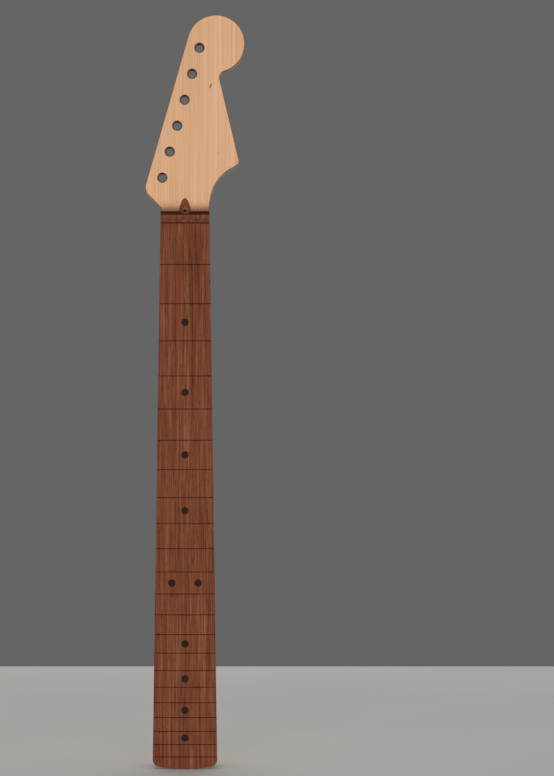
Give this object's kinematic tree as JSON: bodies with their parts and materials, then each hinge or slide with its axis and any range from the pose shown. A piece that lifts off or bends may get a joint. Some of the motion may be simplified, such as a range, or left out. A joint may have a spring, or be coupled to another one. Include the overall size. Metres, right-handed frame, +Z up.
{
  "type": "electric guitar neck",
  "caption": "Bolt-on electric guitar neck with a slab fretboard, open fret slots, dot markers, a six-in-line headstock and an adjustable truss rod.",
  "frame": {"origin": "middle of the four neck screws, on the flat back of the heel", "axes": "+Z up the neck to the headstock, +Y out of the back of the heel, -Y towards the strings, +X to the treble side"},
  "size_m": [0.0876, 0.0254, 0.6598],
  "materials": {
    "maple": "bare maple, sanded smooth, pale straw with fine straight grain",
    "board_wood": "red-brown open-pored hardwood, sanded, with darker streaks along the board",
    "walnut": "bare walnut, sanded flush with the maple",
    "dot_plastic": "near-black plastic, sanded flush with the board",
    "rod_steel": "plain steel rod and adjuster, unpolished",
    "anchor_steel": "dull steel darkened by oil and wood dust"
  },
  "bodies": {
    "neck": {"maple_neck": "maple", "fretboard": "board_wood", "skunk_stripe": "walnut", "headstock_plug": "walnut", "truss_rod": "rod_steel", "truss_rod_anchor": "anchor_steel", "face_dot_3": "dot_plastic", "face_dot_5": "dot_plastic", "face_dot_7": "dot_plastic", "face_dot_9": "dot_plastic", "face_dot_12_bass": "dot_plastic", "face_dot_12_treble": "dot_plastic", "face_dot_15": "dot_plastic", "face_dot_17": "dot_plastic", "face_dot_19": "dot_plastic", "face_dot_21": "dot_plastic", "side_dot_3": "dot_plastic", "side_dot_5": "dot_plastic", "side_dot_7": "dot_plastic", "side_dot_9": "dot_plastic", "side_dot_12_upper": "dot_plastic", "side_dot_12_lower": "dot_plastic", "side_dot_15": "dot_plastic", "side_dot_17": "dot_plastic", "side_dot_19": "dot_plastic", "side_dot_21": "dot_plastic"},
    "truss_rod_washer": {"truss_rod_washer": "rod_steel"},
    "truss_rod_nut": {"truss_rod_nut": "rod_steel"}
  },
  "joints": [
    {"name": "truss_nut_travel", "type": "slide", "parent": "neck", "child": "truss_rod_washer", "axis": [0, -0.0542, 0.9985], "range_m": [0, 0.00119]},
    {"name": "truss_nut_turn", "type": "hinge", "parent": "truss_rod_washer", "child": "truss_rod_nut", "pos_m": [0, -0.01738, 0.41386], "axis": [0, -0.0542, 0.9985], "range_deg": [0, 540]}
  ],
  "couplings": [
    {"joint": "truss_nut_turn", "follows": "truss_nut_travel", "rad_per_m": 7915.8}
  ]
}
